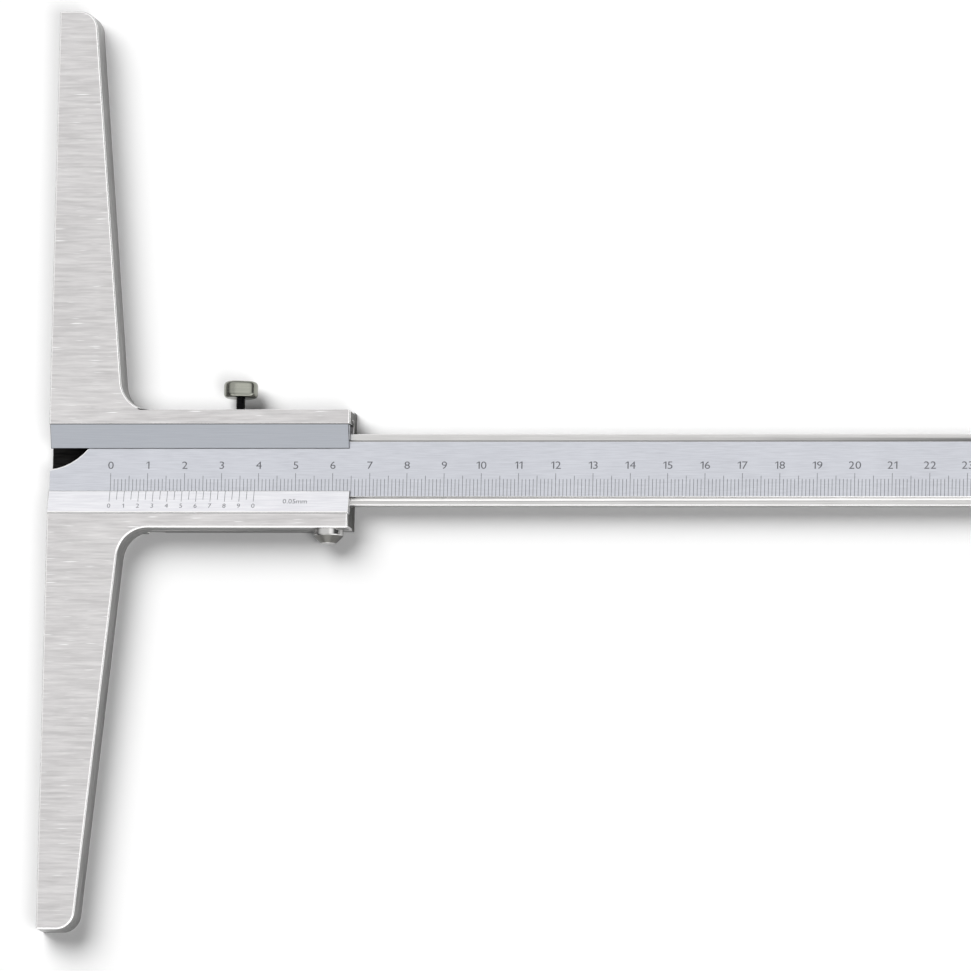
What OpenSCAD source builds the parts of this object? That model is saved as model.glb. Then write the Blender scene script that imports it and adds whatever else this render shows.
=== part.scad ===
// Vernier depth gauge, lying on its back.
// Millimetres. The measuring face of the bridge lies in the plane X = 0, and the
// scale beam runs away from it along +X. Y runs along the bridge. Z = 0 is the
// plane the gauge rests on, and +Z comes out of the graduated front.

/* [Bridge] */
// Length of the measuring face, tip to tip
bridge_len = 246; // [200:1:320]
// Thickness of the bridge and the slider, back to front
bridge_t = 10; // [9.4:0.1:14]
// Width of an arm at its tip
tip_w = 10; // [9:0.5:14]
// Width of an arm where it meets the slider
root_w = 20; // [17:0.5:22]
// Radius of the outer corner of each arm
tip_r = 5; // [1:0.5:7]
// Radius between an arm and the slider
fillet_r = 8; // [4:0.5:12]

/* [Slider] */
// Length of the slider along the beam
slider_len = 81.5; // [80:0.5:110]
// Width of the slider across the beam
slider_w = 31.6; // [31.6:0.1:36]
// Thickness of the floor behind the beam, and of the back plate
floor_t = 3.5; // [3.2:0.1:4]
// Where the back plate begins, measured from the measuring face
back_plate_x = 26; // [24:0.5:28]
// Clearance all round the beam
run_gap = 0.05; // [0.02:0.01:0.08]
// Clearance of a screw in its hole
screw_gap = 0.03; // [0.02:0.01:0.05]

/* [Beam] */
// Length of the beam
beam_len = 400; // [360:1:450]
// Width of the beam
beam_w = 19.1; // [18.8:0.1:19.6]
// Thickness of the beam
beam_t = 4; // [3.6:0.1:4.2]
// Width of the raised graduated field
field_w = 15; // [12:0.5:16]
// How far the lands along both edges lie below the field
land_drop = 0.4; // [0.1:0.05:0.5]
// Radius of the hollow that narrows the measuring end
notch_r = 15; // [10:0.5:20]
// Lowest point of that hollow, above the middle of the beam
notch_low = 0; // [0:0.1:3]
// How far the centre of that hollow lies in front of the beam's end
notch_lead = 1.5; // [0:0.1:3]

/* [Front strips] */
// Visible width of the vernier plate and of the gib lip
strip_w = 6.3; // [5.5:0.1:6.5]
// Distance from the middle of the beam to the outer edge of each strip
strip_edge = 12; // [11.9:0.1:12.3]
// Thickness of a strip at its thin edge
strip_thin = 0.3; // [0.2:0.05:0.5]
// How far the gib lip stops short of each end of the slider
lip_inset = 0.4; // [0.2:0.1:1]

/* [Gib] */
// Play between the gib and the beam when the clamp is open
gib_play = 0.3; // [0.28:0.01:0.32]
// How far the gib leg stops short of each end of the slider
leg_inset = 2.5; // [1:0.5:4]
// Height of the gib tongue into its groove
tongue_h = 0.7; // [0.6:0.05:0.8]
// Width of the gib tongue, back to front
tongue_w = 2; // [1.8:0.1:2.2]
// Clearance between the gib and its groove
gib_gap = 0.1; // [0.05:0.01:0.15]
// Room above the tongue for the leaf spring
spring_room = 0.6; // [0.55:0.05:0.7]
// Thickness of the leaf spring
spring_t = 0.15; // [0.1:0.05:0.2]
// Length of the leaf spring
spring_len = 20; // [14:1:22]
// Middle of the leaf spring, from the measuring face
spring_x = 20; // [16:0.5:22]

/* [Clamp screw] */
// Axis of the clamp screw, from the measuring face
clamp_x = 51; // [47:0.5:55]
// Diameter of the threaded stud
stud_d = 2.5; // [2.2:0.1:3]
// Thread pitch of the stud
stud_pitch = 0.45; // [0.4:0.05:0.6]
// Depth of the thread
thread_depth = 0.2; // [0.1:0.05:0.3]
// Thread that shows between the slider and the head
stud_show = 3.5; // [2:0.1:5]
// Diameter of the thumb head
head_d = 9.1; // [7:0.1:12]
// Height of the thumb head
head_h = 4.4; // [4:0.1:7]
// Rounding of the head's rims
head_round = 1.2; // [0.5:0.1:1.6]
// Distance across the two flats of the head
head_flats = 7.3; // [6.4:0.1:9]
// Turn of the flats from the front
head_turn = 21; // [0:1:45]
// How far the stud reaches into the head
stud_in_head = 3.2; // [2:0.1:3.6]

/* [Finger stud] */
// Distance of the finger stud from the slider's end
finger_inset = 5.9; // [4.5:0.1:7]
// Diameter of its head
finger_d = 8; // [6:0.1:8.4]
// Straight part of the head
finger_straight = 1.7; // [0.8:0.1:3]
// Height of the coned part of the head
finger_cone = 2.2; // [1:0.1:4]
// Diameter of the flat end
finger_end_d = 3.7; // [2:0.1:5]
// Diameter of the shank
finger_shank_d = 3; // [2:0.1:3.4]
// Length of the shank in the slider
finger_shank_len = 4.4; // [3:0.1:4.6]

/* [Small screws] */
// Diameter of the screws that hold the vernier plate
vernier_screw_d = 1.6; // [1.2:0.1:1.8]
// Head diameter of those screws
vernier_head_d = 2.8; // [2.4:0.1:3]
// Head height of those screws
vernier_head_h = 1.1; // [0.8:0.1:1.3]
// Thread of those screws in the vernier plate
vernier_bite = 1.2; // [0.8:0.1:1.3]
// First vernier plate screw, from the measuring face
vernier_screw_x = 30; // [29:0.5:32]
// Inset of the last vernier plate screw from the slider's end
vernier_screw_end = 15.5; // [14:0.5:18]
// Diameter of the back plate screws
back_screw_d = 1.6; // [1.4:0.1:1.7]
// Head diameter of the back plate screws
back_head_d = 2.6; // [2.3:0.1:2.6]
// Length of the back plate screws
back_screw_len = 8; // [6:0.5:8.5]
// Inset of the back plate screws from the slider's long edges
back_screw_inset = 1.45; // [1.4:0.05:1.5]
// Inset of the first back plate screws from the plate's end
back_screw_first = 4; // [3:0.5:5]
// Inset of the last back plate screws from the slider's end
back_screw_last = 9.5; // [9:0.5:10]
// Diameter of the gib adjusting screws
set_screw_d = 2; // [1.6:0.1:2.2]
// Distance of the left adjusting screw from the clamp screw
set_screw_offset = 14; // [12:0.5:16]
// Inset of the right adjusting screw from the slider's end
set_screw_end = 16.5; // [14:0.5:18]
// How far the adjusting screws stop below the slider's edge
set_screw_sink = 0.3; // [0.2:0.1:0.6]
// Width of the screwdriver slots
slot_w = 0.5; // [0.3:0.05:0.6]
// Depth of the screwdriver slots
slot_depth = 0.6; // [0.4:0.05:0.8]

/* [Beam stop] */
// Distance of the stop screw from the beam's far end
stop_inset = 6; // [5:0.5:12]
// Distance of the stop screw below the middle of the beam
stop_off = 6.6; // [6:0.1:7]
// Thread diameter of the stop screw
stop_d = 2.5; // [2:0.1:3]
// Head diameter of the stop screw
stop_head_d = 4.4; // [4:0.1:5]
// Head height of the stop screw
stop_head_h = 1.5; // [1.2:0.1:2]

/* [Hidden] */
$fn = 96;
half_len = bridge_len / 2;
half_slider = slider_w / 2;
half_beam = beam_w / 2;
// Height at which the tapering edge of an arm would reach its root width
taper_y = half_slider;
// Levels, back to front
beam_z = floor_t + run_gap;
beam_top = beam_z + beam_t;
strip_z = beam_top + run_gap;
rail_z = (floor_t + strip_z) / 2;
// Gib and its groove in the upper rail
gib_edge = strip_edge - gib_gap;
tongue_y = gib_edge + tongue_h;
groove_y = tongue_y + spring_room;
groove_w = tongue_w + 2 * gib_gap;
gib_inner = half_beam + gib_play;
// Screws
screw_tip_y = tongue_y + screw_gap;
vernier_screw_y = -(half_beam + strip_edge) / 2;
back_screw_y = half_slider - back_screw_inset;
back_screw_xs = [back_plate_x + back_screw_first, slider_len - back_screw_last];
vernier_screw_last = slider_len - vernier_screw_end;
vernier_screw_xs = [vernier_screw_x, (vernier_screw_x + vernier_screw_last) / 2, vernier_screw_last];
set_screw_xs = [clamp_x - set_screw_offset, slider_len - set_screw_end];
finger_x = slider_len - finger_inset;
stop_x = beam_len - stop_inset;
// A little extra, so that cuts pass right through and joined shapes overlap
cut = 1;
big = 100;
// Steps in half of the leaf spring's bow
spring_steps = 8;

steel = [0.80, 0.80, 0.80];
satin = [0.92, 0.92, 0.93];
blue_steel = [0.70, 0.71, 0.74];
black_steel = [0.15, 0.15, 0.16];
bright = [0.75, 0.75, 0.76];

// X of an arm's tapering edge at a height y
function edge_x(y) = root_w + (tip_w - root_w) * (y - taper_y) / (half_len - taper_y);
// Unit vector across the tapering edge, pointing away from the arm
edge_slope = (root_w - tip_w) / (half_len - taper_y);
edge_n = [1, edge_slope] / sqrt(1 + edge_slope * edge_slope);
// Centre of a circle of radius r that touches the tapering edge from outside (side 1)
// or from inside (side -1), at height y
function edge_centre_x(y, r, side) = edge_x(y) + side * r / edge_n[0];

// Outline of one arm, from just inside the slider to the tip
module arm_outline() {
    corner_y = half_len - tip_r;
    corner = [edge_centre_x(corner_y, tip_r, -1), corner_y];
    difference() {
        polygon([[0, half_slider - cut], [0, half_len], [tip_w, half_len], [root_w, taper_y],
                 [root_w, half_slider - cut]]);
        difference() {
            polygon([corner, [corner[0], half_len + cut], [tip_w + tip_r, half_len + cut],
                     corner + (tip_w + tip_r) * edge_n]);
            translate(corner) circle(r = tip_r);
        }
    }
}

// The hollow corner between an arm and the slider, filled to a radius
module fillet_outline() {
    centre_y = half_slider + fillet_r;
    centre = [edge_centre_x(centre_y, fillet_r, 1), centre_y];
    difference() {
        polygon([[0, half_slider - cut], [0, centre_y], centre - fillet_r * edge_n, centre,
                 [centre[0], half_slider - cut]]);
        translate(centre) circle(r = fillet_r);
    }
}

// The forging before it is milled: two arms and the slider block
module body_blank() {
    for (side = [0, 1]) mirror([0, side]) linear_extrude(bridge_t) {
        arm_outline();
        fillet_outline();
    }
    block([0, -half_slider, 0], [slider_len, half_slider, bridge_t]);
}

// A box from one corner to the opposite one
module block(low, high) {
    translate(low) cube(high - low);
}

// A round bar or hole standing on z = from
module post(x, y, from, to, d) {
    translate([x, y, from]) cylinder(h = to - from, d = d);
}

// A round bar or hole along Y, through the middle of the rails
module cross_post(x, from, to, d) {
    translate([x, from, rail_z]) rotate([-90, 0, 0]) cylinder(h = to - from, d = d);
}

module bridge_body() {
    color(steel) difference() {
        body_blank();
        // channel for the beam, with the gib's room above it
        block([-cut, -half_beam - run_gap, floor_t], [slider_len + cut, strip_edge, bridge_t + cut]);
        // seats for the front strips
        block([-cut, -strip_edge, strip_z], [slider_len + cut, strip_edge, bridge_t + cut]);
        // groove for the gib's tongue and its spring
        block([-cut, strip_edge - cut, rail_z - groove_w / 2],
              [slider_len + cut, groove_y, rail_z + groove_w / 2]);
        // open back of the slider, closed by the back plate
        block([back_plate_x, -half_slider, -cut], [slider_len + cut, half_slider, floor_t]);
        // vernier plate screws
        for (x = vernier_screw_xs)
            post(x, vernier_screw_y, floor_t - cut, strip_z + cut, vernier_screw_d + 2 * screw_gap);
        // back plate screws
        for (x = back_screw_xs, side = [-1, 1])
            post(x, side * back_screw_y, floor_t - cut, back_screw_len + screw_gap,
                 back_screw_d + 2 * screw_gap);
        // gib adjusting screws
        for (x = set_screw_xs)
            cross_post(x, groove_y - cut / 2, half_slider + cut, set_screw_d + 2 * screw_gap);
        // clamp screw
        cross_post(clamp_x, groove_y - cut / 2, half_slider + cut, stud_d + 2 * screw_gap);
        // finger stud
        cross_post(finger_x, -half_slider - cut, -half_slider + finger_shank_len + screw_gap,
                   finger_shank_d + 2 * screw_gap);
    }
}

module back_plate() {
    color(steel) difference() {
        block([back_plate_x + run_gap, -half_slider, 0], [slider_len, half_slider, floor_t]);
        for (x = back_screw_xs, side = [-1, 1]) translate([x, side * back_screw_y, 0]) {
            translate([0, 0, -cut]) cylinder(h = floor_t + 2 * cut, d = back_screw_d + 2 * screw_gap);
            screw_cone(back_head_d + 2 * screw_gap, back_screw_d + 2 * screw_gap);
        }
        // pockets for the heads of the vernier plate screws
        for (x = vernier_screw_xs)
            post(x, vernier_screw_y, floor_t - vernier_head_h - screw_gap, floor_t + cut,
                 vernier_head_d + 2 * screw_gap);
    }
}

// Countersink with its wide end on z = 0, at 90 degrees
module screw_cone(wide, narrow) {
    rotate_extrude() polygon([[0, -cut / 2], [wide / 2, -cut / 2], [wide / 2, 0],
                              [narrow / 2, (wide - narrow) / 2], [0, (wide - narrow) / 2]]);
}

module back_screw(x, side) {
    head_h = (back_head_d - back_screw_d) / 2;
    color(bright) translate([x, side * back_screw_y, 0]) difference() {
        rotate_extrude() polygon([[0, screw_gap], [back_head_d / 2 - screw_gap, screw_gap],
                                  [back_screw_d / 2, head_h], [back_screw_d / 2, back_screw_len],
                                  [0, back_screw_len]]);
        block([-big, -slot_w / 2, -cut], [big, slot_w / 2, slot_depth]);
    }
}

// Cross-section of a front strip: flat behind, sloping in front towards the beam
module strip_outline(edge) {
    polygon([[edge, strip_z], [edge, bridge_t], [edge - strip_w, strip_z + strip_thin],
             [edge - strip_w, strip_z]]);
}

// A strip along X from one end to the other, its cross-section given in Y and Z
module along_x(from, to) {
    translate([from, 0, 0]) rotate([90, 0, 90]) linear_extrude(to - from) children();
}

module vernier_plate() {
    color(satin) difference() {
        along_x(0, slider_len) mirror([1, 0]) strip_outline(strip_edge);
        for (x = vernier_screw_xs)
            post(x, vernier_screw_y, strip_z - cut, strip_z + vernier_bite + screw_gap,
                 vernier_screw_d + 2 * screw_gap);
    }
}

module vernier_screw(x) {
    color(bright) difference() {
        union() {
            post(x, vernier_screw_y, floor_t - vernier_head_h, floor_t, vernier_head_d);
            post(x, vernier_screw_y, floor_t - cut / 2, strip_z + vernier_bite, vernier_screw_d);
        }
        block([x - big, vernier_screw_y - slot_w / 2, floor_t - vernier_head_h - cut],
              [x + big, vernier_screw_y + slot_w / 2, floor_t - vernier_head_h + slot_depth]);
    }
}

module gib() {
    color(blue_steel) {
        along_x(lip_inset, slider_len - lip_inset) strip_outline(gib_edge);
        block([leg_inset, gib_inner, beam_z], [slider_len - leg_inset, gib_edge, strip_z + strip_thin]);
        block([leg_inset, gib_edge - cut / 2, rail_z - tongue_w / 2],
              [slider_len - leg_inset, tongue_y, rail_z + tongue_w / 2]);
    }
}

// A bowed leaf: its ends bear on the groove and its middle on the tongue
module gib_spring() {
    low = tongue_y + screw_gap;
    sag = spring_room - spring_t - 2 * screw_gap;
    bow = [for (i = [-spring_steps:spring_steps]) [i / spring_steps, low + sag * pow(i / spring_steps, 2)]];
    inner = [for (p = bow) [spring_x + p[0] * spring_len / 2, p[1]]];
    outer = [for (i = [len(inner) - 1:-1:0]) inner[i] + [0, spring_t]];
    color(black_steel) translate([0, 0, rail_z - tongue_w / 2]) linear_extrude(tongue_w)
        polygon(concat(inner, outer));
}

module gib_set_screw(x) {
    top = half_slider - set_screw_sink;
    color(black_steel) difference() {
        cross_post(x, screw_tip_y, top, set_screw_d);
        block([x - slot_w / 2, top - slot_depth, 0], [x + slot_w / 2, top + cut, bridge_t]);
    }
}

module clamp_screw_head() {
    low = half_slider + stud_show;
    r = head_d / 2;
    color(steel) translate([clamp_x, low, rail_z]) rotate([-90, 0, 0]) difference() {
        rotate_extrude() difference() {
            union() {
                square([r - head_round, head_h]);
                translate([0, head_round]) square([r, head_h - 2 * head_round]);
                for (y = [head_round, head_h - head_round])
                    translate([r - head_round, y]) circle(r = head_round);
            }
        }
        for (half_turn = [0, 180]) rotate([0, 0, head_turn + half_turn])
            block([-big, head_flats / 2, -cut], [big, big, head_h + cut]);
        translate([0, 0, -cut]) cylinder(h = stud_in_head + screw_gap + cut, d = stud_d + 2 * screw_gap);
    }
}

// Threaded stud, its thread drawn as a row of ridges one pitch apart
module clamp_screw_stud() {
    length = half_slider + stud_show + stud_in_head - screw_tip_y;
    ridges = floor((length - stud_pitch) / stud_pitch);
    r = stud_d / 2;
    root = r - thread_depth;
    start = (length - ridges * stud_pitch) / 2;
    flank = [for (i = [0:ridges - 1], p = [[root, 0], [r, 0.5]]) [p[0], start + (i + p[1]) * stud_pitch]];
    color(black_steel) translate([clamp_x, screw_tip_y, rail_z]) rotate([-90, 0, 0]) rotate_extrude()
        polygon(concat([[0, 0], [root, 0]], flank, [[root, length - start], [root, length], [0, length]]));
}

// Turned thumb rest screwed into the lower edge of the slider
module finger_stud() {
    r = finger_d / 2;
    top = finger_straight + finger_cone;
    color(bright) translate([finger_x, -half_slider, rail_z]) rotate([90, 0, 0]) rotate_extrude()
        polygon([[0, -finger_shank_len], [finger_shank_d / 2, -finger_shank_len], [finger_shank_d / 2, 0],
                 [r, 0], [r, finger_straight], [finger_end_d / 2, top], [0, top]]);
}

module beam() {
    color(steel) difference() {
        block([0, -half_beam, beam_z], [beam_len, half_beam, beam_top]);
        // lands milled down on both sides of the field that carries the graduation
        for (side = [0, 1]) mirror([0, side, 0])
            block([-cut, field_w / 2, beam_top - land_drop], [beam_len + cut, half_beam + cut, beam_top + cut]);
        // hollow that narrows the measuring end
        post(-notch_lead, notch_low + notch_r, beam_z - cut, beam_top + cut, 2 * notch_r);
        // stop screw and the seat of its head, milled down to the land
        post(stop_x, -stop_off, beam_z - cut, beam_top + cut, stop_d + 2 * screw_gap);
        post(stop_x, -stop_off, beam_top - land_drop, beam_top + cut, stop_head_d + 2 * screw_gap);
    }
}

module beam_stop_screw() {
    seat = beam_top - land_drop;
    head_top = seat + stop_head_h;
    color(bright) difference() {
        union() {
            post(stop_x, -stop_off, beam_z, seat + cut / 2, stop_d);
            post(stop_x, -stop_off, seat, head_top, stop_head_d);
        }
        block([stop_x - big, -stop_off - slot_w / 2, head_top - slot_depth],
              [stop_x + big, -stop_off + slot_w / 2, head_top + cut]);
    }
}

bridge_body();
back_plate();
back_screw(back_screw_xs[0], 1);  // back_screw_upper_left
back_screw(back_screw_xs[1], 1);  // back_screw_upper_right
back_screw(back_screw_xs[0], -1);  // back_screw_lower_left
back_screw(back_screw_xs[1], -1);  // back_screw_lower_right
vernier_plate();
vernier_screw(vernier_screw_xs[0]);  // vernier_screw_left
vernier_screw(vernier_screw_xs[1]);  // vernier_screw_middle
vernier_screw(vernier_screw_xs[2]);  // vernier_screw_right
gib();
gib_spring();
gib_set_screw(set_screw_xs[0]);  // gib_set_screw_left
gib_set_screw(set_screw_xs[1]);  // gib_set_screw_right
clamp_screw_head();
clamp_screw_stud();
finger_stud();
beam();
beam_stop_screw();
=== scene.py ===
"""Vernier depth gauge with a tapered steel bridge. Metres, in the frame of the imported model:
X along the beam, Y along the bridge, Z out of the graduated front."""

import bmesh
import bpy
import numpy as np
from mathutils import Matrix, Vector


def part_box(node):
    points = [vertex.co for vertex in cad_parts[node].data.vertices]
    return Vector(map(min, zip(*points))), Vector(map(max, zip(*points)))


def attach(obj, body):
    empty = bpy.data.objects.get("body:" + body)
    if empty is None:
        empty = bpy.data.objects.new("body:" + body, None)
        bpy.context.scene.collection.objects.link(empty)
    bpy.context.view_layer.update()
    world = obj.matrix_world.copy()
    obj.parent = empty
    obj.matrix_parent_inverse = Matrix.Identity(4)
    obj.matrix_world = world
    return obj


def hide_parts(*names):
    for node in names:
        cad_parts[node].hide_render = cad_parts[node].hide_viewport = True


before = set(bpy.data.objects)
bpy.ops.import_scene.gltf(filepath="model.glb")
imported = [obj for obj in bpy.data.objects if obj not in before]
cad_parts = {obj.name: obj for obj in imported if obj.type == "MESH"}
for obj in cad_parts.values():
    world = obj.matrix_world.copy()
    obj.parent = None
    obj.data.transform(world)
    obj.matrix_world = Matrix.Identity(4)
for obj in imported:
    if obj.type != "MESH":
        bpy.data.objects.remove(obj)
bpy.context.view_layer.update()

mm = 0.001


# ---- Camera -------------------------------------------------------------------------
# A long lens four and a half metres above the gauge, to its right and below it, as in the
# photograph. Its place and turn come from fitting the bridge's edges and the scale's marks.
camera = bpy.data.objects.new("camera", bpy.data.cameras.new("camera"))
bpy.context.scene.collection.objects.link(camera)
camera.data.sensor_width = 36
camera.data.lens = 633.18
camera.data.clip_start = 0.05
camera.data.clip_end = 60
camera.matrix_world = (Matrix.Translation((0.92248, -0.58612, 4.41351))
                       @ Matrix.Rotation(0.1313, 4, "X") @ Matrix.Rotation(0.1791, 4, "Y"))
bpy.context.scene.camera = camera
bpy.context.scene.view_settings.view_transform = "Standard"


# ---- Studio ------------------------------------------------------------------------
# A white table under a soft overhead light. The room is dark towards the horizon, but for
# a strip light high on the right and a low window below. A soft lamp at the upper left
# throws the shadow, and a weaker one at the lower right the faint one on the other side.
def linear(colour):
    """Linear RGBA of an sRGB hex colour: ((c + 0.055) / 1.055) ** 2.4, or c / 12.92 when dark."""
    c = np.array([int(colour[i:i + 2], 16) for i in (1, 3, 5)]) / 255
    return (*np.where(c > 0.04045, ((c + 0.055) / 1.055) ** 2.4, c / 12.92), 1.0)


def add(tree, kind, inputs=None, **settings):
    """Adds a shader node, sets its properties, and fills each input with a value or a link."""
    node = tree.nodes.new("ShaderNode" + kind)
    for key, value in settings.items():
        setattr(node, key, value)
    for key, value in (inputs or {}).items():
        if isinstance(value, bpy.types.NodeSocket):
            tree.links.new(value, node.inputs[key])
        else:
            node.inputs[key].default_value = value
    return node


def faded(tree, value, span, low=0.0, high=1.0):
    """Goes smoothly from low to high as the value goes from the span's start to its stop."""
    return add(tree, "MapRange", {"Value": value, "From Min": span[0], "From Max": span[1],
                                  "To Min": low, "To Max": high},
               interpolation_type="SMOOTHSTEP").outputs["Result"]


def looked_at(tree):
    """1 for the rays of the eye, of a reflection and of glass, 0 for those that only light matt things."""
    rays = add(tree, "LightPath").outputs
    seen = add(tree, "Math", {0: rays["Is Camera Ray"], 1: rays["Is Glossy Ray"]}, operation="ADD")
    return add(tree, "Math", {0: seen.outputs[0], 1: rays["Is Transmission Ray"]}, operation="ADD",
               use_clamp=True).outputs[0]


# strengths, directions, and the spans of direction over which each light fades in
room_horizon = 0.08
room_overhead = 0.94
room_overhead_from = (-0.20, 0.38, 0.90)
room_overhead_span = (0.26, 0.90)
room_share = 0.08
strip_strength = 0.6
strip_side_span = (0.12, 0.40)
strip_height_span = (0.55, 0.80)
window_strength = 1.9
window_from = (0.35, -0.94, 0.0)
window_span = (0.25, 0.60)
window_height_span = (0.80, 0.55)
sill_height_span = (0.0, 0.16)
sill_share = 0.3
# strength, angular size in degrees, and the direction that the light comes from
lamps = {
    "main_lamp": (2.84, 44, (-0.37, 0.53, 0.76)),
    "fill_lamp": (0.94, 26, (0.41, -0.28, 0.87)),
}

world = bpy.data.worlds.new("studio")
bpy.context.scene.world = world
world.use_nodes = True
tree = world.node_tree
tree.nodes.clear()
towards = add(tree, "TexCoord").outputs["Generated"]
facing = add(tree, "VectorMath", {0: towards, 1: room_overhead_from}, operation="DOT_PRODUCT")
ceiling = faded(tree, facing.outputs["Value"], room_overhead_span, room_horizon, room_horizon + room_overhead)
side = add(tree, "SeparateXYZ", {0: towards}).outputs
right = faded(tree, side["X"], strip_side_span, high=strip_strength)
high = faded(tree, side["Z"], strip_height_span)
strip = add(tree, "Math", {0: right, 1: high}, operation="MULTIPLY").outputs[0]
facing = add(tree, "VectorMath", {0: towards, 1: window_from}, operation="DOT_PRODUCT")
facing = faded(tree, facing.outputs["Value"], window_span)
low = faded(tree, side["Z"], window_height_span, high=window_strength)
sill = faded(tree, side["Z"], sill_height_span, low=sill_share)
low = add(tree, "Math", {0: low, 1: sill}, operation="MULTIPLY").outputs[0]
window = add(tree, "Math", {0: facing, 1: low, 2: strip}, operation="MULTIPLY_ADD").outputs[0]
# the eye and the metal see the whole room; matt things get a small share of the overhead light alone
depth = add(tree, "LightPath").outputs["Diffuse Depth"]
seen = add(tree, "Math", {0: looked_at(tree), 1: depth}, operation="SUBTRACT", use_clamp=True).outputs[0]
share = add(tree, "MapRange", {"Value": seen, "To Min": room_share, "To Max": 1.0}).outputs["Result"]
ceiling = add(tree, "Math", {0: ceiling, 1: share}, operation="MULTIPLY").outputs[0]
light = add(tree, "Math", {0: window, 1: seen, 2: ceiling}, operation="MULTIPLY_ADD").outputs[0]
sky = add(tree, "Background", {"Color": linear("#FFFFFF"), "Strength": light})
add(tree, "OutputWorld", {"Surface": sky.outputs[0]})

for name, (strength, spread, source) in lamps.items():
    lamp = bpy.data.objects.new(name, bpy.data.lights.new(name, "SUN"))
    lamp.data.energy = strength
    lamp.data.angle = np.radians(spread)
    lamp.rotation_mode = "QUATERNION"
    lamp.rotation_quaternion = Matrix.Identity(3).col[2].rotation_difference(source)
    lamp.visible_glossy = False
    bpy.context.scene.collection.objects.link(lamp)

table_half = 12.0
table_drop = 0.02 * mm
table_glow = 0.025
table_mesh = bpy.data.meshes.new("table")
table_corners = np.array([[-1, -1], [1, -1], [1, 1], [-1, 1]]) * table_half
table_points = np.column_stack([table_corners, np.full(4, -table_drop)])
table_mesh.from_pydata(table_points.tolist(), [], [[0, 1, 2, 3]])
table = bpy.data.objects.new("table", table_mesh)
bpy.context.scene.collection.objects.link(table)
# matt white card; the eye and the metal see it as paper white, with the gauge's shadow kept
card = bpy.data.materials.new("white_card")
card.use_nodes = True
tree = card.node_tree
tree.nodes.clear()
seen = looked_at(tree)
tone = add(tree, "Mix", {0: seen, 6: linear("#E4E4E4"), 7: linear("#FFFFFF")}, data_type="RGBA").outputs[2]
matt = add(tree, "BsdfDiffuse", {"Color": tone}).outputs[0]
lifted = add(tree, "Math", {0: seen, 1: table_glow}, operation="MULTIPLY").outputs[0]
glow = add(tree, "Emission", {"Color": linear("#FFFFFF"), "Strength": lifted}).outputs[0]
paper = add(tree, "AddShader", {0: matt, 1: glow}).outputs[0]
add(tree, "OutputMaterial", {"Surface": paper})
table_mesh.materials.append(card)


# ---- Bridge -------------------------------------------------------------------------
# The T-shaped body: two tapered arms and the slider block, cut from one piece of tool
# steel, ground on a wheel along the beam, its edges broken by a small polished chamfer.
sharp_angle = np.radians(25)
merge_distance = 4e-7
flat_angle = 0.004


def dressed(node, name, width, segments=2, weight=None):
    """A copy of a CAD node for the eye: its loose triangles merged, flat faces joined, and a bevel of the
    given width on each edge sharper than sharp_angle, scaled by weight(middle of the edge, in mm)."""
    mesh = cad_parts[node].data.copy()
    mesh.name = name
    mesh.materials.clear()
    work = bmesh.new()
    work.from_mesh(mesh)
    bmesh.ops.remove_doubles(work, verts=work.verts, dist=merge_distance)
    bmesh.ops.dissolve_limit(work, angle_limit=flat_angle, verts=work.verts, edges=work.edges)
    work.to_mesh(mesh)
    work.free()
    if "custom_normal" in mesh.attributes:
        mesh.attributes.remove(mesh.attributes["custom_normal"])
    mesh.shade_smooth()
    mesh.set_sharp_from_angle(angle=sharp_angle)
    points = np.empty(len(mesh.vertices) * 3)
    mesh.vertices.foreach_get("co", points)
    ends = np.empty(len(mesh.edges) * 2, dtype=np.int32)
    mesh.edges.foreach_get("vertices", ends)
    sharp = np.zeros(len(mesh.edges), dtype=bool)
    mesh.attributes["sharp_edge"].data.foreach_get("value", sharp)
    middles = points.reshape(-1, 3)[ends.reshape(-1, 2)].mean(axis=1) / mm
    share = np.where(sharp, 1.0 if weight is None else weight(middles), 0.0)
    mesh.attributes.new("bevel_weight_edge", "FLOAT", "EDGE").data.foreach_set("value", share)
    mesh.attributes.remove(mesh.attributes["sharp_edge"])
    piece = bpy.data.objects.new(name, mesh)
    bpy.context.scene.collection.objects.link(piece)
    bevel = piece.modifiers.new("broken_edges", "BEVEL")
    bevel.limit_method = "WEIGHT"
    bevel.width = width
    bevel.segments = segments
    bevel.harden_normals = True
    bevel.use_clamp_overlap = False
    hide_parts(node)
    return piece


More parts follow.
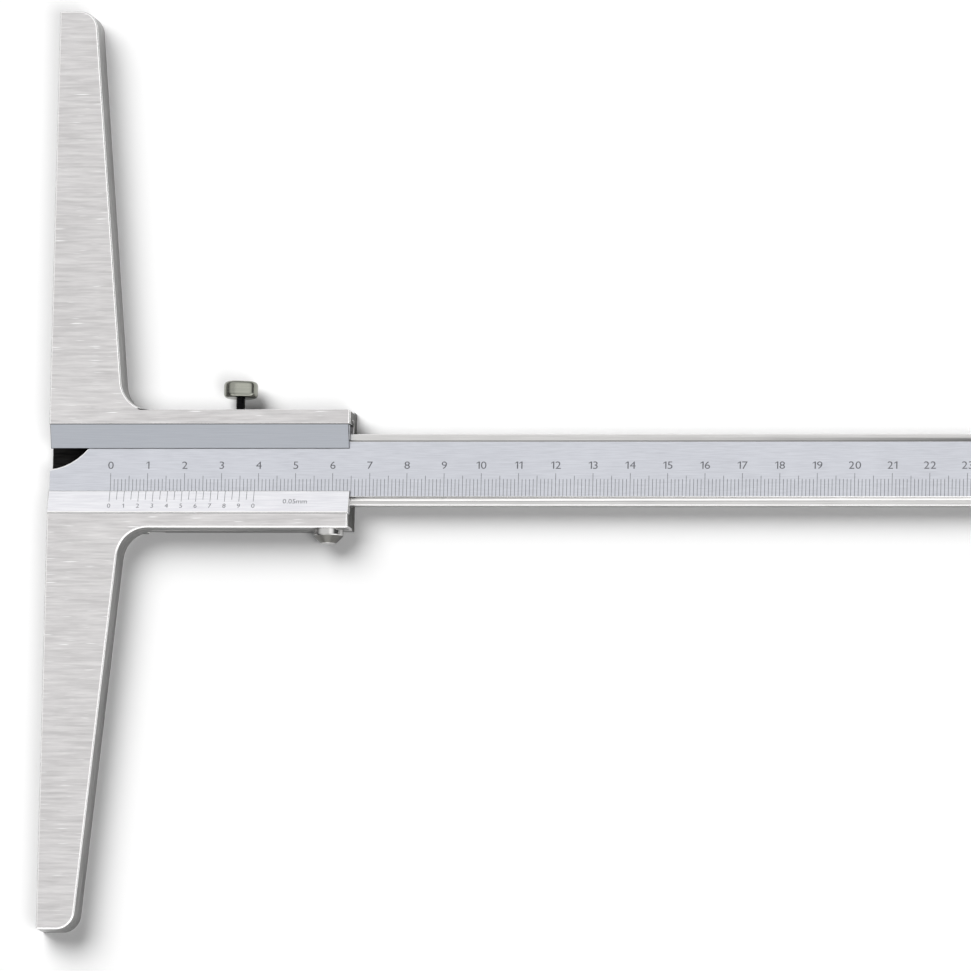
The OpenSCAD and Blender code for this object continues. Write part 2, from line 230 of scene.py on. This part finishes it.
def ground(name, dark, light, rough, spacing, length, relief, scratch=None, lathe=False):
    """Ground or brushed metal: noise drawn out into grooves of a spacing and a length, in metres, which
    tint it between two colours, vary its roughness and raise its surface. The grooves run along X, and
    along Y on walls that face X; on a lathe they run round the Y axis. A scratch colour adds sparse
    bright scratches, where a second such noise is high."""
    metal = bpy.data.materials.new(name)
    metal.use_nodes = True
    tree = metal.node_tree
    tree.nodes.clear()
    place = add(tree, "TexCoord").outputs
    along, across = 1 / length, 1 / spacing
    along_x = add(tree, "Mapping", {"Vector": place["Object"], "Scale": (along, across, across)})
    along_y = add(tree, "Mapping", {"Vector": place["Object"], "Scale": (across, along, across)})
    wall = add(tree, "SeparateXYZ", {0: place["Normal"]}).outputs["X"]
    wall = add(tree, "Math", {0: wall}, operation="ABSOLUTE").outputs[0]
    wall = add(tree, "Math", {0: wall, 1: 0.5}, operation="GREATER_THAN").outputs[0]
    path = add(tree, "Mix", {0: wall, 4: along_x.outputs[0], 5: along_y.outputs[0]},
               data_type="VECTOR").outputs[1]
    if lathe:
        path = add(tree, "Mapping", {"Vector": place["Object"], "Scale": (along, across, along)}).outputs[0]
    grooves = add(tree, "TexNoise", {"Vector": path, "Scale": 1.0, "Detail": 3.0,
                                     "Roughness": 0.6}).outputs[0]
    patches = add(tree, "TexNoise", {"Vector": place["Object"], "Scale": 60.0, "Detail": 2.0}).outputs[0]
    blend = add(tree, "Math", {0: patches, 1: 0.25, 2: grooves}, operation="MULTIPLY_ADD").outputs[0]
    blend = add(tree, "MapRange", {"Value": blend, "From Min": 0.33, "From Max": 0.93}).outputs[0]
    tint = add(tree, "Mix", {0: blend, 6: linear(dark), 7: linear(light)}, data_type="RGBA").outputs[2]
    if scratch:
        other = add(tree, "Mapping", {"Vector": path, "Location": (7.3, 2.1, 5.7), "Scale": (1.8, 2.4, 2.4)})
        marks = add(tree, "TexNoise", {"Vector": other.outputs[0], "Scale": 1.0, "Detail": 0.0}).outputs[0]
        marks = add(tree, "MapRange", {"Value": marks, "From Min": 0.74, "From Max": 0.86}).outputs[0]
        tint = add(tree, "Mix", {0: marks, 6: tint, 7: linear(scratch)}, data_type="RGBA").outputs[2]
    gloss = add(tree, "MapRange", {"Value": grooves, "To Min": rough + 0.08,
                                   "To Max": rough - 0.08}).outputs[0]
    lift = add(tree, "Bump", {"Height": grooves, "Distance": relief, "Strength": 1.0}).outputs[0]
    shader = add(tree, "BsdfPrincipled", {"Base Color": tint, "Metallic": 1.0, "Roughness": gloss,
                                          "Normal": lift})
    add(tree, "OutputMaterial", {"Surface": shader.outputs[0]})
    return metal


bridge_edge = 0.50 * mm
slider_end, slider_half = (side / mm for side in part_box("back_plate")[1][:2])
strip_seat = 12.05


def bridge_edges(at):
    """Full chamfer on the outline of the front and back and on the outer corners, none on the edges
    within the slider, where its small holes meet and the clamp stud runs, and a quarter along its
    upper edge and on the other edges."""
    face = (np.abs(at[:, 2] - 5) > 4.99) & (np.abs(at[:, 1]) > strip_seat)
    outer = face | (np.abs(at[:, 1]) > slider_half - 0.1)
    upper = (np.abs(at[:, 1] - slider_half) < 0.1) & (at[:, 2] > 9.9)
    within = (at[:, 0] > 1) & (at[:, 0] < slider_end - 1) & (np.abs(at[:, 1]) < slider_half - 1)
    within &= (at[:, 2] > 2) & (at[:, 2] < 8.5)
    return np.select([within, outer & ~upper], [0.0, 1.0], 0.25)


# wheel-ground tool steel: bright, with fine grooves about 10 mm long and a few white scratches
ground_steel = ground("ground_tool_steel", "#BEBCBC", "#E4E2E2", 0.34, 0.7 * mm, 10 * mm, 0.003 * mm,
                      scratch="#FFFFFF")
# the same steel on the walls, milled along them and left so: dull, and darker grey as painted shade
milled_shaded_steel = ground("milled_side_painted_shade", "#868686", "#B6B5B4", 0.42, 0.9 * mm, 9 * mm, 0.004 * mm)
# the same steel on the end faces at the slider's far end: rough, and painted dark as shade
end_shade_steel = ground("end_face_painted_shade", "#403F3D", "#767573", 0.50, 0.6 * mm, 1.5 * mm, 0.008 * mm)
# the same steel where a fine stone broke the edge: smoother, and near white as a painted highlight along the
# edges
stoned_and_highlight_steel = ground("stoned_edge_painted_highlight", "#F2F1F0", "#FFFFFF", 0.24, 0.4 * mm, 5 * mm, 0.001 * mm)
# the milled channel and the gib's edges, painted near black as shade where light does not reach
painted_shade_black = ground("shade_painted_black", "#0A0A0A", "#2C2B2A", 0.55, 0.5 * mm, 6 * mm, 0.004 * mm)

bridge = dressed("bridge_body", "bridge", bridge_edge, 2, bridge_edges)
# the bevel's faces take the stoned edge steel, whose near-white colour is a painted highlight
bridge.modifiers["broken_edges"].material = 1
for metal in (ground_steel, stoned_and_highlight_steel, painted_shade_black, milled_shaded_steel, end_shade_steel):
    bridge.data.materials.append(metal)


def face_centres(mesh):
    """Centres, in mm, and normals of a mesh's faces, as two arrays."""
    centres = np.empty(len(mesh.polygons) * 3)
    mesh.polygons.foreach_get("center", centres)
    normals = np.empty(len(mesh.polygons) * 3)
    mesh.polygons.foreach_get("normal", normals)
    return centres.reshape(-1, 3) / mm, normals.reshape(-1, 3)


centre, normal = face_centres(bridge.data)
# faces within the channel get the near-black painted shade, the slider's end faces the dark painted shade,
# and the other walls the milled steel, darker as painted shade
inside = (np.abs(centre[:, 1]) < 11.9) & (centre[:, 2] > 3) & (centre[:, 2] < 7.5)
wall = np.abs(normal[:, 2]) < 0.5
end = (normal[:, 0] > 0.9) & (centre[:, 0] > slider_end - 0.1)
finish_and_shade = np.select([inside & (np.abs(normal[:, 0]) < 0.5), end, wall], [2, 4, 3], 0)
bridge.data.polygons.foreach_set("material_index", finish_and_shade)
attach(bridge, "bridge")


# ---- Back plate -----------------------------------------------------------------------
# A flat plate of the same ground steel that closes the channel from behind. It is held by
# four small countersunk, slotted steel screws.
back_cover = dressed("back_plate", "back_cover", 0.2 * mm, 2)
back_cover.data.materials.append(ground_steel)
back_cover.data.materials.append(milled_shaded_steel)
back_cover.data.materials.append(end_shade_steel)
centre, normal = face_centres(back_cover.data)
# its end faces get the dark painted shade, its other walls the milled steel, darker as painted shade
finish_and_shade = np.select([normal[:, 0] > 0.9, np.abs(normal[:, 2]) < 0.5], [2, 1], 0)
back_cover.data.polygons.foreach_set("material_index", finish_and_shade)
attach(back_cover, "bridge")

# turned steel screw: satin, with fine tool marks
screw_steel = ground("turned_screw_steel", "#A9A7A4", "#D5D3D0", 0.30, 0.15 * mm, 1.5 * mm, 0.001 * mm)
for node in sorted(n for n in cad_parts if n.startswith("back_screw") or n.startswith("vernier_screw")):
    screw = dressed(node, "slotted_" + node, 0.07 * mm, 2)
    screw.data.materials.append(screw_steel)
    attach(screw, "bridge")


# ---- Vernier plate ------------------------------------------------------------------------
# A satin-chromed strip screwed into the lower seat from behind. It slopes down to the
# beam, and its 20 divisions and their numbers are engraved and filled with black.
satin_chrome = ground("satin_chrome_plate", "#DEDEE4", "#F8F8FB", 0.30, 0.35 * mm, 9 * mm, 0.0012 * mm)
vernier = dressed("vernier_plate", "vernier_scale", 0.6 * mm, 2,
                  lambda at: np.where((at[:, 1] < -11.9) & (at[:, 2] > 9.9), 1.0, 0.4))
# its bevel takes the stoned edge steel, whose near-white colour is a painted highlight
vernier.modifiers["broken_edges"].material = 1
vernier.data.materials.append(satin_chrome)
vernier.data.materials.append(stoned_and_highlight_steel)
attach(vernier, "bridge")

scale_zero = 16.7
line_width = 0.13
line_proud = 0.006
line_sunk = 0.05


def engraved(name, at, low, high, surface):
    """Filled scale lines as flat bars, one for each X in at: a bar reaches from Y = low to Y = high, and
    each of its corners lies at the surface's Z for that Y, line_proud above it on top and line_sunk
    below it underneath."""
    at, low, high = np.broadcast_arrays(np.asarray(at, float), low, high)
    side = np.array([-1, 1, 1, -1, -1, 1, 1, -1]) * line_width / 2
    upper = np.array([0, 0, 1, 1, 0, 0, 1, 1])
    lift = np.array([line_proud] * 4 + [-line_sunk] * 4)
    y = low[:, None] + upper * (high - low)[:, None]
    points = np.stack([at[:, None] + side + 0 * y, y, surface(y) + lift], axis=-1).reshape(-1, 3)
    bar = np.array([[0, 1, 2, 3], [4, 7, 6, 5], [0, 4, 5, 1], [1, 5, 6, 2], [2, 6, 7, 3], [3, 7, 4, 0]])
    faces = (np.arange(len(at))[:, None, None] * 8 + bar).reshape(-1, 4)
    mesh = bpy.data.meshes.new(name)
    mesh.from_pydata((points * mm).tolist(), [], faces.tolist())
    piece = bpy.data.objects.new(name, mesh)
    bpy.context.scene.collection.objects.link(piece)
    return piece


letter_cache = {}
letter_depth = 0.02
letter_offset = -0.004
# the flag of the 1: how far it reaches to the left, and how far its corners lie below the top
flag_reach = 0.16
flag_falls = (0.13, 0.20, 0.09)
block_faces = ((0, 1, 2, 3), (7, 6, 5, 4), (0, 4, 5, 1), (1, 5, 6, 2), (2, 6, 7, 3), (3, 7, 4, 0))


def letter(character):
    """Points and faces of one plain character, about 1 unit high for a capital, with a thickness for
    filling. The figure 1, a bare bar in the typeface, gets its flag."""
    if character not in letter_cache:
        curve = bpy.data.curves.new("letter", "FONT")
        curve.body = character
        curve.extrude = letter_depth
        curve.offset = letter_offset
        curve.resolution_u = 3
        writer = bpy.data.objects.new("letter", curve)
        bpy.context.scene.collection.objects.link(writer)
        bpy.context.view_layer.update()
        mesh = bpy.data.meshes.new_from_object(writer.evaluated_get(bpy.context.evaluated_depsgraph_get()))
        points = np.empty(len(mesh.vertices) * 3)
        mesh.vertices.foreach_get("co", points)
        faces = [list(face.vertices) for face in mesh.polygons]
        if character == "1":
            left, top = points[0::3].min(), points[1::3].max()
            far = left - flag_reach
            flag = [(left, top), (far, top - flag_falls[0]), (far, top - flag_falls[1]),
                    (left, top - flag_falls[2])]
            faces += [[len(points) // 3 + i for i in face] for face in block_faces]
            points = np.append(points, [(x, y, z) for z in (letter_depth, -letter_depth) for x, y in flag])
        bpy.data.objects.remove(writer)
        bpy.data.curves.remove(curve)
        bpy.data.meshes.remove(mesh)
        letter_cache[character] = (points.reshape(-1, 3), faces)
    return letter_cache[character]


letter_broad = 1.2
letter_gap = 0.16
letter_least = 0.12


def numbers(name, words, height, surface):
    """Each (text, x, y) in words written along X with its middle at (x, y), in mm. A character is its
    outline scaled to the height, widened by letter_broad, set letter_gap times the height beside the
    one before, and laid on the surface's Z for its Y."""
    tall = np.ptp(letter("0")[0][:, 1])
    broad = np.array([letter_broad, 1, 1])
    size = height / tall
    points, faces = [], []
    for text, x, y in words:
        widths = [max(np.ptp(letter(c)[0][:, 0]), letter_least) * size * letter_broad for c in text]
        gap = letter_gap * height
        pen = x - (sum(widths) + gap * (len(text) - 1)) / 2
        for character, width in zip(text, widths):
            shape, polygons = letter(character)
            flat = shape - [shape[:, 0].min(), letter("0")[0][:, 1].min() + tall / 2, 0]
            flat = flat * size * broad + [pen, y, 0]
            first = sum(len(p) for p in points)
            flat[:, 2] = surface(flat[:, 1]) + np.where(flat[:, 2] > 0, line_proud, -line_sunk)
            points.append(flat)
            faces += [[first + corner for corner in polygon] for polygon in polygons]
            pen += width + gap
    mesh = bpy.data.meshes.new(name)
    mesh.from_pydata((np.concatenate(points) * mm).tolist(), [], faces)
    piece = bpy.data.objects.new(name, mesh)
    bpy.context.scene.collection.objects.link(piece)
    return piece


# black filling of the engraving: matt, a little worn
filling = bpy.data.materials.new("black_engraving_wax")
filling.use_nodes = True
tree = filling.node_tree
tree.nodes.clear()
where = add(tree, "TexCoord").outputs["Object"]
worn = add(tree, "TexNoise", {"Vector": where, "Scale": 2500.0, "Detail": 2.0}).outputs[0]
worn = add(tree, "MapRange", {"Value": worn, "From Min": 0.35, "From Max": 0.75}).outputs[0]
tint = add(tree, "Mix", {0: worn, 6: linear("#47484D"), 7: linear("#76777C")}, data_type="RGBA").outputs[2]
rough = add(tree, "MapRange", {"Value": worn, "To Min": 0.5, "To Max": 0.7}).outputs[0]
wax = add(tree, "BsdfPrincipled", {"Base Color": tint, "Roughness": rough}).outputs[0]
add(tree, "OutputMaterial", {"Surface": wax})


plate_thin_y = -5.7
plate_thin_z = 7.9


def plate_height(y):
    """Z of the vernier plate's sloping front, in mm, at Y: it rises 1 in 3 from its thin edge."""
    return plate_thin_z + (plate_thin_y - y) / 3


# 20 divisions to 39 mm; each second line is a little longer and has a number below it
divisions = 20
division = 39 / divisions
vernier_top = -5.8
vernier_long, vernier_short = -8.75, -8.2
step = np.arange(divisions + 1)
vernier_ends = np.where(step % 2 == 0, vernier_long, vernier_short)
vernier_at = scale_zero + division * step
vernier_lines = engraved("vernier_lines", vernier_at, vernier_ends, vernier_top, plate_height)
digits_y, digits_high = -9.9, 1.15
digits = [(str(i // 2 % 10), scale_zero + division * i, digits_y) for i in step[::2]]
vernier_numbers = numbers("vernier_numbers", digits, digits_high, plate_height)
value_x, value_y, value_high = 66.9, -8.65, 1.2
vernier_value = numbers("vernier_value", [("0.05mm", value_x, value_y)], value_high, plate_height)
for piece in (vernier_lines, vernier_numbers, vernier_value):
    piece.data.materials.append(filling)
    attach(piece, "bridge")


# ---- Gib ----------------------------------------------------------------------------------
# A matt-chromed T-shaped strip between the beam and the upper rail. Its sloping lip shows
# in front; behind, a leaf spring and two grub screws set its play.
matt_chrome = ground("matt_chrome_gib", "#BDC1C9", "#C9CDD4", 0.36, 0.3 * mm, 10 * mm, 0.0004 * mm)
gib = dressed("gib", "gib_strip", 0.12 * mm, 2)
gib.data.materials.append(matt_chrome)
gib.data.materials.append(painted_shade_black)
# its bevels and its faces turned down towards the beam are painted near black as shade
gib.modifiers["broken_edges"].material = 1
centre, normal = face_centres(gib.data)
gib.data.polygons.foreach_set("material_index", np.where(normal[:, 1] < -0.7, 1, 0))
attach(gib, "gib")

# blackened spring and screw steel
black_steel = ground("blackened_steel", "#151516", "#3A3A3C", 0.42, 0.2 * mm, 2 * mm, 0.002 * mm)
for node, name, edge in (("gib_spring", "gib_leaf_spring", 0.02),
                         ("gib_set_screw_left", "grub_screw_left", 0.06),
                         ("gib_set_screw_right", "grub_screw_right", 0.06)):
    piece = dressed(node, name, edge * mm, 2)
    piece.data.materials.append(black_steel)
    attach(piece, "bridge")


# ---- Clamp screw ----------------------------------------------------------------------------
# A blackened threaded stud with a satin nickel-plated thumb head pressed on. The head is
# turned, with rounded rims, and has two flats for the fingers.
stud_low, stud_high = (np.array(corner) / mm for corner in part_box("clamp_screw_stud"))
clamp_x, _, rail_height = (stud_low + stud_high) / 2
stud_root = 1.05
stud_depth = 0.2
stud_pitch = 0.45
stud_tip = 0.35


def wrapped(name, grid):
    """A closed skin over a grid of points in mm, whose rows follow one another along an axis and whose
    columns go round it. The first and the last row are closed by a point in their middle."""
    m, n = grid.shape[:2]
    points = np.concatenate([grid.reshape(-1, 3), grid[[0, -1]].mean(axis=1)])
    j, i = np.meshgrid(np.arange(m - 1), np.arange(n), indexing="ij")
    k = (i + 1) % n
    quads = np.stack([j * n + i, j * n + k, (j + 1) * n + k, (j + 1) * n + i], axis=-1).reshape(-1, 4)
    ring = np.arange(n)
    after = (ring + 1) % n
    low = np.column_stack([after, ring, np.full(n, n * m)])
    high = np.column_stack([(m - 1) * n + ring, (m - 1) * n + after, np.full(n, n * m + 1)])
    mesh = bpy.data.meshes.new(name)
    mesh.from_pydata((points * mm).tolist(), [], quads.tolist() + low.tolist() + high.tolist())
    mesh.shade_smooth()
    piece = bpy.data.objects.new(name, mesh)
    bpy.context.scene.collection.objects.link(piece)
    return piece


def thread(name):
    """A screw on the line X = clamp_x, Z = rail_height, along Y. At a turn a and a height h its radius
    is the root plus the depth times a triangle wave of h / pitch - a / 360 degrees. It tapers to the
    root over half a pitch at the top and above its plain tip."""
    turns = np.linspace(0, 2 * np.pi, 48, endpoint=False)
    a, h = np.meshgrid(turns, np.linspace(stud_low[1], stud_high[1], 260))
    wave = 1 - np.abs(2 * ((h / stud_pitch - a / (2 * np.pi)) % 1) - 1)
    taper = np.clip(np.minimum(h - stud_low[1] - stud_tip, stud_high[1] - h) / (stud_pitch / 2), 0, 1)
    r = stud_root + stud_depth * wave * taper
    return wrapped(name, np.stack([clamp_x + r * np.cos(a), h, rail_height - r * np.sin(a)], axis=-1))


flat_soft = 0.06


def turned(name, axis_x, corners, flats=None):
    """A turned piece on the line X = axis_x, Z = rail_height. Its profile goes from (radius, Y, rounding)
    corner to corner, from the axis and back to it. Near a corner it is the parabola that touches both
    sides at the rounding's length from the corner. Flats = (across, turn) mill two flats: the section
    is a circle of radius 1 in which s, the distance from the axis along the flats' normal, turned from
    Z towards X, becomes s - w log(1 + exp((s - across / diameter) / w)), w being flat_soft. It is
    scaled to the profile's radius; a bore stays round."""
    corners = np.array(corners, float)
    at, size = corners[:, :2], corners[1:-1, 2:]
    before = at[:-2] - at[1:-1]
    beyond = at[2:] - at[1:-1]
    start = at[1:-1] + size * before / np.linalg.norm(before, axis=1, keepdims=True)
    stop = at[1:-1] + size * beyond / np.linalg.norm(beyond, axis=1, keepdims=True)
    t = np.linspace(0, 1, 9)[None, :, None]
    arcs = (1 - t) ** 2 * start[:, None] + 2 * t * (1 - t) * at[1:-1, None] + t ** 2 * stop[:, None]
    ends = np.concatenate([at[:1], stop]), np.concatenate([start, at[-1:]])
    sides = ends[0][:, None] + np.array([0.04, 0.96])[None, :, None] * (ends[1] - ends[0])[:, None]
    profile = np.concatenate([sides[0], *(np.concatenate(pair) for pair in zip(arcs, sides[1:]))])
    a, r = np.meshgrid(np.linspace(0, 2 * np.pi, 144, endpoint=False), profile[:, 0])
    x, z = np.cos(a), -np.sin(a)
    if flats:
        across, turn = flats
        s = x * np.sin(turn) + z * np.cos(turn)
        beyond_flat = np.abs(s) - across / 2 / r.max()
        cut = np.sign(s) * flat_soft * np.log1p(np.exp(beyond_flat / flat_soft)) * (r > r.max() / 3)
        x, z = x - cut * np.sin(turn), z - cut * np.cos(turn)
    y = np.broadcast_to(profile[:, 1:], x.shape)
    return wrapped(name, np.stack([axis_x + r * x, y, rail_height + r * z], axis=-1))


stud = thread("clamp_stud_thread")
stud.data.materials.append(black_steel)
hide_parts("clamp_screw_stud")
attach(stud, "clamp_screw")

# satin nickel: warm grey, drawn softly by the lathe
satin_nickel = ground("satin_nickel_head", "#8C8D86", "#98998F", 0.22, 0.25 * mm, 9 * mm, 0.0003 * mm,
                      lathe=True)
head_low, head_high = (np.array(corner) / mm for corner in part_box("clamp_screw_head"))
head_radius = (head_high[0] - head_low[0]) / 2
head_round = 1.3
head_bore = 1.28
bore_end = stud_high[1] + 0.03
flats_across = 7.3
flats_turn = np.radians(17)
head = turned("clamp_thumb_head", clamp_x, [
    (0, bore_end, 0), (head_bore, bore_end, 0.05), (head_bore, head_low[1], 0.1),
    (head_radius, head_low[1], head_round), (head_radius, head_high[1], head_round),
    (0, head_high[1], 0)], flats=(flats_across, flats_turn))
head.data.materials.append(satin_nickel)
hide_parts("clamp_screw_head")
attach(head, "clamp_screw")


# ---- Finger stud ----------------------------------------------------------------------------
# A turned, coned and polished steel stud screwed into the slider's lower edge, against
# which the thumb pushes the slider.
polished_steel = ground("polished_steel_stud", "#B9B8B7", "#CBCAC9", 0.12, 0.12 * mm, 9 * mm, 0.0001 * mm,
                        lathe=True)
# its cone, rubbed smooth, in a darker copy of the same steel as painted shade
cone_shade_steel = ground("cone_steel_painted_shade", "#5E5D5B", "#72716D", 0.22, 0.15 * mm, 9 * mm, 0.0004 * mm,
                     lathe=True)
finger_low, finger_high = (np.array(corner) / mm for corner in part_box("finger_stud"))
finger_x = (finger_low[0] + finger_high[0]) / 2
finger_radius = (finger_high[0] - finger_low[0]) / 2
finger_straight = 1.7
finger_end = 1.85
finger_shank = 1.5
cone_start = -slider_half - finger_straight
finger = turned("finger_rest_stud", finger_x, [
    (0, finger_low[1], 0), (finger_end, finger_low[1], 0.2), (finger_radius, cone_start, 0.25),
    (finger_radius, -slider_half, 0.1), (finger_shank, -slider_half, 0.05),
    (finger_shank, finger_high[1], 0.15), (0, finger_high[1], 0)])
finger.data.materials.append(polished_steel)
finger.data.materials.append(cone_shade_steel)
centre, normal = face_centres(finger.data)
# the cone's faces take the darker steel of the painted shade
cone = (centre[:, 1] < cone_start - 0.1) & (centre[:, 1] > finger_low[1] + 0.25)
finger.data.polygons.foreach_set("material_index", np.where(cone, 1, 0))
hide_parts("finger_stud")
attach(finger, "bridge")


# ---- Beam ------------------------------------------------------------------------------------
# The graduated bar of hardened steel: a raised field, matt-chromed so that its black
# millimetre lines read without glare, between two lower lands ground along its edges.
matt_field = ground("matt_chrome_scale", "#C4C6CD", "#D8DAE1", 0.36, 0.3 * mm, 6 * mm, 0.0008 * mm)
land_steel = ground("ground_beam_edge", "#C6C5C4", "#DCDBDA", 0.30, 0.3 * mm, 12 * mm, 0.0015 * mm)
field_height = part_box("beam")[1][2] / mm
field_half = 7.5


def beam_edges(at):
    """Full chamfer along the raised field's lower edge and the hollow, a third of it along the field's
    upper edge, none at its foot, three quarters along the front's lower edge, and half of it
    elsewhere."""
    step = np.abs(np.abs(at[:, 1]) - field_half) < 0.05
    top = at[:, 2] > field_height - 0.01
    hollow = (at[:, 0] > 0.1) & (at[:, 0] < 20) & (at[:, 1] > -field_half)
    foot = step & (at[:, 2] > field_height - 0.5)
    lower = (at[:, 1] < -9.4) & (at[:, 2] > field_height - 0.5)
    upper = top & step & (at[:, 1] > 0)
    return np.select([upper, top & (step | hollow), foot, lower], [0.33, 1.0, 0.0, 0.75], 0.5)


beam = dressed("beam", "scale_beam", 0.38 * mm, 2, beam_edges)
# its bevel takes the stoned edge steel, whose near-white colour is a painted highlight
beam.modifiers["broken_edges"].material = 2
for metal in (land_steel, matt_field, stoned_and_highlight_steel):
    beam.data.materials.append(metal)
centre, normal = face_centres(beam.data)
field = (normal[:, 2] > 0.9) & (centre[:, 2] > field_height - 0.01)
beam.data.polygons.foreach_set("material_index", np.where(field, 1, 0))
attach(beam, "beam")

# lines in mm: each tenth is long, each fifth of middle length, and a number stands above each tenth
scale_last = 340
field_edge = -7.1
long_top, middle_top, short_top = -0.98, -1.66, -2.55
numbers_y, numbers_high = 1.15, 1.98


def field_level(y):
    """Z of the beam's raised field, in mm."""
    return np.full_like(y, field_height)


step = np.arange(scale_last + 1)
tops = np.where(step % 10 == 0, long_top, np.where(step % 5 == 0, middle_top, short_top))
beam_lines = engraved("beam_lines", scale_zero + step, field_edge, tops, field_level)
words = [(str(i), scale_zero + 10 * i, numbers_y) for i in range(scale_last // 10 + 1)]
beam_numbers = numbers("beam_numbers", words, numbers_high, field_level)
for piece in (beam_lines, beam_numbers):
    piece.data.materials.append(filling)
    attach(piece, "beam")

stop = dressed("beam_stop_screw", "beam_stop", 0.12 * mm, 2)
stop.data.materials.append(screw_steel)
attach(stop, "beam")
